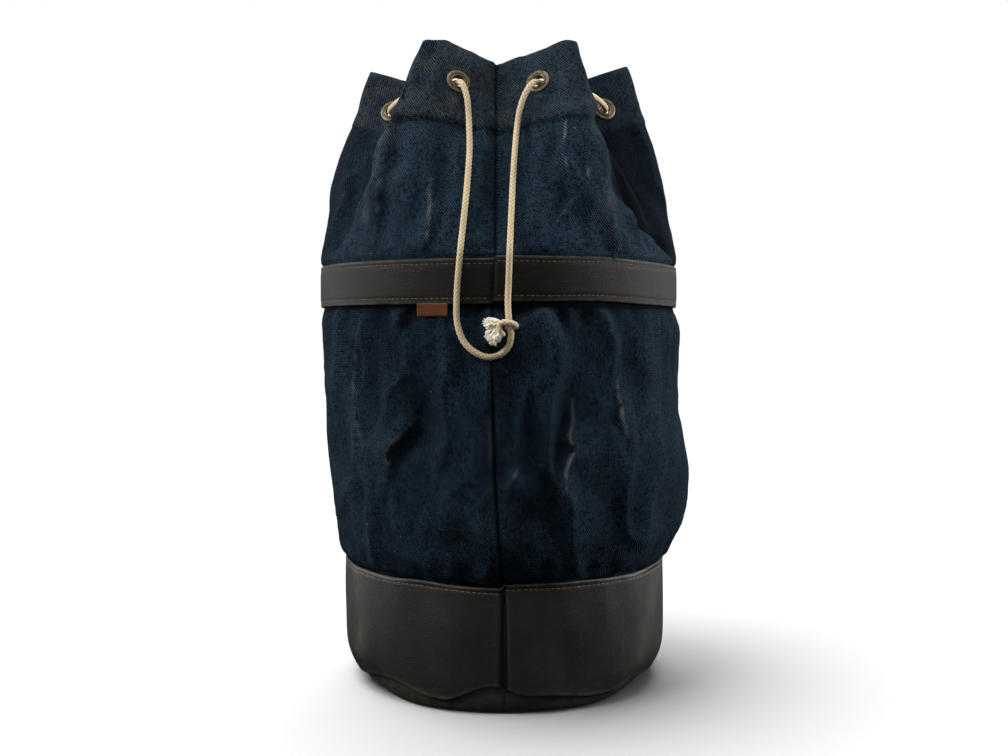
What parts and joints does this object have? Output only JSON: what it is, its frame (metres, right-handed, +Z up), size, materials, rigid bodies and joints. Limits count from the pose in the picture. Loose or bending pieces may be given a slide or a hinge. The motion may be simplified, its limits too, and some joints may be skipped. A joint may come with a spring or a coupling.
{
  "type": "drawstring duffel bag",
  "caption": "Tall round drawstring duffel bag in dark denim, gathered at its open mouth by a cord through brass eyelets, with a leather band and a leather base.",
  "frame": {"origin": "centre of the bag's bounding box, on the floor it stands on", "axes": "+Z up along the bag, the front seam faces -Y, +X to the right seen from the front"},
  "size_m": [0.3083, 0.3059, 0.5114],
  "materials": {
    "denim": "washed dark indigo twill, worn pale on folds",
    "leather": "waxed dark brown leather, faded at edges",
    "tan_leather": "smooth tan leather",
    "brass": "antique brass",
    "cotton": "undyed braided cotton"
  },
  "bodies": {
    "root": {"base_cup": "leather", "base_wall": "leather", "denim_lower": "denim", "leather_band": "leather", "denim_upper": "denim", "label_tab": "tan_leather", "eyelet_01": "brass", "eyelet_02": "brass", "eyelet_03": "brass", "eyelet_04": "brass", "eyelet_05": "brass", "eyelet_06": "brass", "eyelet_07": "brass", "eyelet_08": "brass", "eyelet_09": "brass", "eyelet_10": "brass", "eyelet_11": "brass", "eyelet_12": "brass", "drawstring_run": "cotton", "drawstring_left": "cotton", "drawstring_right": "cotton", "drawstring_knot": "cotton"}
  },
  "joints": []
}
